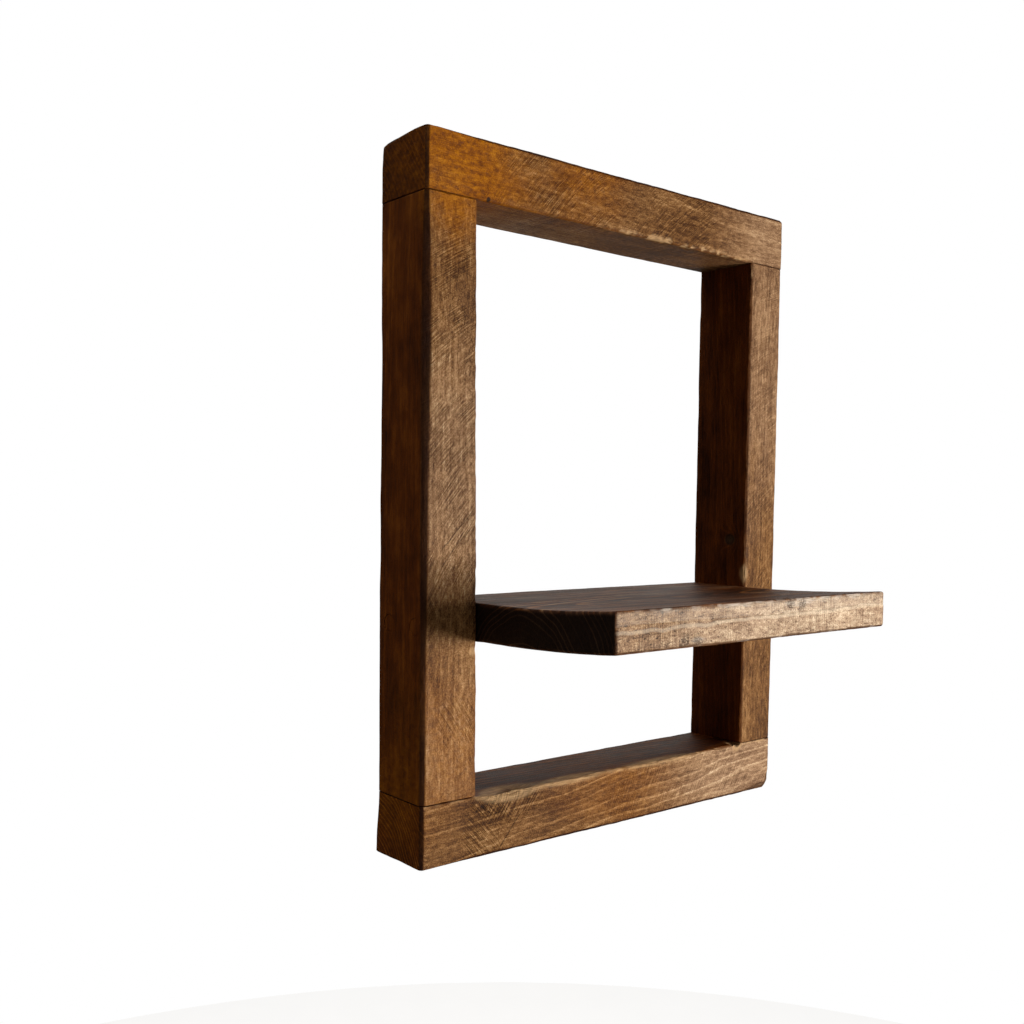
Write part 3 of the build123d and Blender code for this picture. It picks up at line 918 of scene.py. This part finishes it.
def steel(name, light, dark, roughness, scratch):
    """Plated or bare steel, brushed one way, with small stains."""
    n = Nodes(name)
    brushed = n.field(n.place, scratch, 2.0, 0.7)
    stain = n.field(n.place, 3.0, 3.0, 0.6)
    grit = n.field(n.place, 0.25, 2.0, 0.7)
    colour = n.mix(n.remap(stain, 0.35, 0.9), n.mix(brushed, light, dark), dark)
    uneven = n.total((brushed, 0.14, 0.5), (stain, 0.16, 0.5))
    return n.finish(
        Base_Color=colour,
        Metallic=1.0,
        Roughness=n.math("ADD", uneven, roughness),
        Normal=n.bump(n.total((brushed, 0.6, 0.5), (grit, 0.4, 0.5)), 0.03),
    )


def dress(piece, material, slot, *nodes):
    """Give a piece its material, put it on the frame's body and hide the CAD nodes that it stands for."""
    piece.data.materials.clear()
    piece.data.materials.append(material)
    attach(piece, BODY)
    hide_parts(*nodes)


# where some stains and marks are centred, and some painted light: the spot at the low left corner centres a
# painted warm glow of light bounced up from below, and the spots under the top rail paint light from below
# on its underside
TOP_LEFT = (LEFT + 18, FRONT, TOP - 6)
LOW_LEFT = (LEFT + 24, FRONT, WINDOW_BOTTOM + 30)
LEFT_FOOT_GLOW = (LEFT, FRONT / 2, WINDOW_BOTTOM)
UNDER_TOP_RAIL_LIT = [(x, -5, WINDOW_TOP - 30) for x in (-100, -65, -30)]
SHELF_LIP = SHELF_TOP + SHELF_RISE
SHELF_LOWER_LIP = SHELF[0][2] + SHELF_RISE
WOODS = {
    "top_rail": wood(
        "stained_top_rail", "X", pith=(60, WINDOW_TOP - 34, 0.06, 0.03), pitch=2.6, seed=1.0,
        end_tone=-0.22, ring_light=0.09, end_rings=0.14,
        amber=((TOP_LEFT, 78, 1.0), ((LEFT + 112, FRONT, TOP), 45, 0.6)),
        # the pale patches are painted: a grey sheen at the right end and light from below on the underside
        pale=(((RIGHT, FRONT, WINDOW_TOP + 15), 75, 0.45), *((spot, 42, 1.0) for spot in UNDER_TOP_RAIL_LIT)),
        saw=((46, 1.4, 0.26, (-55, FRONT, TOP - 18), 62), (40, 1.6, 0.16, (45, FRONT, TOP - 18), 50)),
        knots_and_notch_shade=(((WINDOW_LEFT + 3, FRONT + 1, WINDOW_TOP + 1.5), 1.6, 0.9),),
    ),
    "bottom_rail": wood(
        "stained_bottom_rail", "X", pith=(14, BOTTOM - 14, -0.02, 0.05), pitch=2.4, seed=2.0,
        end_tone=0.06, ring_light=0.22, end_rings=0.12,
        # the amber at the left foot is a painted warm glow of bounced light
        amber=(((0, FRONT, WINDOW_BOTTOM), 60, 0.3), (LEFT_FOOT_GLOW, 34, 0.5)),
        # the pale patch at the right is a painted grey sheen
        pale=(((RIGHT - 30, FRONT, WINDOW_BOTTOM - 10), 100, 0.6),),
        saw=((52, 1.7, 0.30, (LEFT + 62, FRONT, WINDOW_BOTTOM), 26),
             (-50, 1.8, 0.30, (LEFT + 48, FRONT, BOTTOM + 12), 24),
             (60, 2.2, 0.14, (70, FRONT, BOTTOM + 18), 110)),
        # this dark patch is painted shade in the notch beside the right stile; the rings bend round it too
        knots_and_notch_shade=(((WINDOW_RIGHT - 2, FRONT + 1, WINDOW_BOTTOM - 0.5), 2.4, 0.9),),
        cracks=(((LEFT + 62, FRONT, BOTTOM + 12), 48, 15, 0.3),),
    ),
    "left_stile": wood(
        "stained_left_stile", "Z", pith=(LEFT + 70, 30, -0.03, 0.02), pitch=3.0, seed=3.0,
        tone=0.03, smoke_tone=0.24, ring_light=0.08,
        # the amber at the left foot is a painted warm glow of bounced light
        amber=((LOW_LEFT, 55, 0.35), ((LEFT + 17, FRONT, WINDOW_TOP), 30, 0.9), (LEFT_FOOT_GLOW, 45, 0.5)),
        # the pale patches are a painted cool sheen down its front
        pale=(((LEFT + 22, FRONT, -110), 85, 0.35), ((LEFT + 26, FRONT, WINDOW_BOTTOM + 30), 50, 0.25)),
        saw=((44, 1.3, 0.25, (LEFT + 20, FRONT, -90), 150),
             (-58, 1.6, 0.22, (LEFT + 26, FRONT, WINDOW_BOTTOM + 40), 22)),
        cracks=(((LEFT + 24, FRONT, -142), 47, 20, 0.28), ((LEFT + 22, FRONT, -154), 47, 18, 0.22)),
    ),
    "right_stile": wood(
        "stained_right_stile", "Z", pith=(WINDOW_RIGHT - 42, -70, 0.04, 0.02), pitch=2.7, seed=4.0,
        front_tone=-0.02, ring_light=0.08,
        # the pale patch is a painted grey sheen over its upper part
        pale=(((RIGHT, FRONT, WINDOW_TOP - 60), 130, 0.4),),
        saw=((35, 1.6, 0.14, (RIGHT - 15, FRONT, -100), 190),),
        knots_and_notch_shade=(((WINDOW_RIGHT, FRONT + 14, SHELF_TOP + 32), 4.5, 0.8),),
    ),
    "shelf_board": wood(
        "stained_shelf", "X", pith=(-82, SHELF[0][2] - 10, 0.03, 0.09), pitch=3.2, seed=5.0,
        # the grey streaks on its top are a painted sheen
        tone=0.02, front_tone=0.04, ring_light=0.40, bands=0.36, band_size=11, sheen_streaks=0.36, rough=1.3,
        front_grain=0.35,
        # grey weathering on its front, brighter towards the right as painted light
        pale=(((110, SHELF_FRONT, SHELF_TOP), 250, 1.0),),
        saw=((88, 1.3, 0.22, (0, SHELF_FRONT, SHELF_TOP), 190),),
        lips=(((-10, SHELF_FRONT, SHELF_LOWER_LIP + 12), 0.6, 150, 1.5),),
        tears=(((TEAR_X, SHELF_FRONT, SHELF_LOWER_LIP + 3.5), 8),
               ((TEAR_X - 10, SHELF_FRONT, SHELF_LOWER_LIP + 4), 8),
               ((SPLIT_X - 6, SHELF_FRONT, SHELF_LIP - 3), 8),
               ((SPLIT_X + 5, SHELF_FRONT, SHELF_LIP - 4), 8)),
        specks=0.30, end_dark=0.97, bare=BARE_SHELF, sheen=0.10,
    ),
}
STEEL_SCREW = steel("screw_steel", rgb(196, 192, 180), rgb(120, 112, 98), 0.34, (0.3, 0.3, 4.0))
ZINC_PLATE = steel("hanger_zinc", rgb(214, 214, 212), rgb(150, 150, 148), 0.30, (6.0, 0.3, 0.3))


# ---------------------------------------- the pieces
# the outer front arris of each stile: (height, leg)
LEFT_STILE_LEGS = (
    (WINDOW_BOTTOM, 2.8),
    (SHELF_TOP, 3.4),
    (-60, 4.8),
    (WINDOW_TOP - 30, 4.8),
    (WINDOW_TOP, 3.0),
)
RIGHT_STILE_LEGS = ((WINDOW_BOTTOM, 2.4), (WINDOW_TOP, 2.6))
timbers = {
    # the top rail's underside takes the front's lighter colours by pale_under: painted light from below
    "top_rail": timber(
        "top_rail", *RAILS["top"], TIMBER_STEP, rail_radii("top"), power=1.25, seed=101,
        wear=top_rail_wear, dark=edge_shade_outside(*RAILS["top"], end="top"), pale_under=0.8),
    "bottom_rail": timber(
        "bottom_rail", *RAILS["bottom"], TIMBER_STEP, rail_radii("bottom", CUT_CORNER), power=1.25, seed=111,
        wear=bottom_rail_wear, dark=edge_shade_outside(*RAILS["bottom"], end="bottom")),
    "left_stile": timber(
        "left_stile", *STILES["left"], TIMBER_STEP, stile_radii("left", LEFT_STILE_LEGS), power=1.2,
        seed=121, wear=left_stile_wear, dark=edge_shade_outside(*STILES["left"], side="left"), reshape=taper),
    "right_stile": timber(
        "right_stile", *STILES["right"], TIMBER_STEP, stile_radii("right", RIGHT_STILE_LEGS), power=1.25,
        seed=131, wear=right_stile_wear, dark=edge_shade_outside(*STILES["right"], side="right")),
    "shelf_board": timber(
        "shelf_board", *SHELF_BLANK, SHELF_STEP, shelf_radii, power=1.6, seed=141,
        wear=shelf_wear, dark=shelf_edge_shade, reshape=cup),
}
cutters = {name: [] for name in timbers}
for end in RAILS:
    for side in SIDES:
        cutters[f"{end}_rail"] += plug_holes(f"corner_plugs_{end}_{side}")
for side in SIDES:
    cutters[f"{side}_stile"] += plug_holes(f"shelf_plugs_{side}") + hanger_recess(side)
for name, piece in timbers.items():
    carve(piece, cutters[name])
    piece.data.set_sharp_from_angle(angle=SHARP_EDGE * DEG)
    dress(piece, WOODS[name], "shelf_timber" if name == "shelf_board" else "frame_timber", name)
for side in SIDES:
    for end in RAILS:
        plugs(f"corner_plugs_{end}_{side}", WOODS[f"{end}_rail"])
    plugs(f"shelf_plugs_{side}", WOODS[f"{side}_stile"])
for name, node in frame["nodes"].items():
    if "screws" in name or "hanger_plate" in name:
        node.data.materials.clear()
        node.data.materials.append(ZINC_PLATE if "plate" in name else STEEL_SCREW)


# ---------------------------------------- stage, light and camera
CENTRE = Vector((LEFT + RIGHT, FRONT, BOTTOM + TOP)) / 2 * MM
FLOOR_RADIUS = 2.7          # in metres, as the lights are
FLOOR_DROP = 1.4            # below the frame's middle
SURROUND_RADIUS = 2.8
# each light's place from the frame's middle, its size, its watts and its colour
LIGHTS = {
    "window": ((0.70, -1.28, -0.14), (0.5, 0.34), 30, (1.0, 0.965, 0.91)),
    "underfill": ((0.25, -0.72, -1.1), (0.7, 0.7), 2.8, (1.0, 0.90, 0.76)),
    "skyfill": ((-0.5, 0.1, 1.5), (0.9, 0.7), 11, (1.0, 0.95, 0.88)),
    "wall_glow": ((0.95, 1.0, 0.32), (1.5, 0.9), 4.5, (1.0, 0.96, 0.9)),
    "left_bounce": ((-1.3, -0.12, -0.4), (0.8, 0.8), 1.05, (1.0, 0.84, 0.62)),
}
WORLD_COLOUR = (1, 0.93, 0.84, 1)
WORLD_STRENGTH = 0.06
CAMERA_PLACE = (-485.12, -530.34, -126.34)  # mm, in the frame's own coordinates
CAMERA_TURN = (39.40, -3.22, 0.78)  # heading, pitch and roll in degrees
CAMERA_LENS = 38.64         # mm, on a sensor 36 mm wide
CAMERA_SHIFT = (-0.0032, 0.0476)


def area_light(name, place, size, watts, colour):
    """A soft rectangular light aimed at the middle of the frame."""
    lamp = bpy.data.lights.new(name, "AREA")
    lamp.shape = "RECTANGLE"
    lamp.size, lamp.size_y = size
    lamp.energy = watts
    lamp.color = colour
    obj = add_object(name, lamp)
    obj.location = CENTRE + Vector(place)
    obj.rotation_euler = (-Vector(place)).to_track_quat("-Z", "Y").to_euler()
    obj.visible_camera = False


def build_stage():
    """A pale floor well below the frame, and a white surround that only the camera sees."""
    bm = bmesh.new()
    bmesh.ops.create_circle(bm, cap_ends=True, segments=96, radius=FLOOR_RADIUS)
    floor = add_object("floor", mesh_from(bm, "floor"))
    floor.location = CENTRE + Vector((0, 0, -FLOOR_DROP))
    n = Nodes("pale_floor")
    tint = n.mix(n.field(n.place, 90, 2.0), rgb(246, 245, 243), rgb(238, 237, 235))
    pale = n.finish(Base_Color=tint, Roughness=0.9, Emission_Color=(1, 1, 1, 1), Emission_Strength=0.80)
    floor.data.materials.append(pale)
    bm = bmesh.new()
    bmesh.ops.create_icosphere(bm, subdivisions=5, radius=SURROUND_RADIUS)
    bmesh.ops.reverse_faces(bm, faces=bm.faces)
    surround = add_object("surround", mesh_from(bm, "surround"))
    surround.location = CENTRE
    surround.visible_shadow = False
    n = Nodes("white_surround")
    glow = n.add("Emission", {"Color": (1, 1, 1, 1), "Strength": 1.0})
    n.add("OutputMaterial", {"Surface": glow.outputs[0]})
    surround.data.materials.append(n.material)
    for obj in (floor, surround):
        obj.visible_diffuse = False
        obj.visible_glossy = False


def build_camera():
    """The camera, from its place and its heading, pitch and roll in degrees."""
    heading, pitch, roll = CAMERA_TURN
    camera = bpy.data.cameras.new("camera")
    camera.sensor_width = 36.0
    camera.lens = CAMERA_LENS
    camera.shift_x, camera.shift_y = CAMERA_SHIFT
    camera.clip_start = 0.01
    obj = add_object("camera", camera)
    turn = Matrix.Rotation(-heading * DEG, 4, "Z") @ Matrix.Rotation((90 + pitch) * DEG, 4, "X")
    obj.matrix_world = Matrix.Translation(Vector(CAMERA_PLACE) * MM) @ turn
    obj.matrix_world @= Matrix.Rotation(roll * DEG, 4, "Z")
    bpy.context.scene.camera = obj


build_stage()
build_camera()
for name, light in LIGHTS.items():
    area_light(name, *light)
world = bpy.data.worlds.new("studio")
world.use_nodes = True
background = world.node_tree.nodes["Background"]
background.inputs["Color"].default_value = WORLD_COLOUR
background.inputs["Strength"].default_value = WORLD_STRENGTH
bpy.context.scene.world = world
bpy.context.scene.view_settings.view_transform = "Standard"
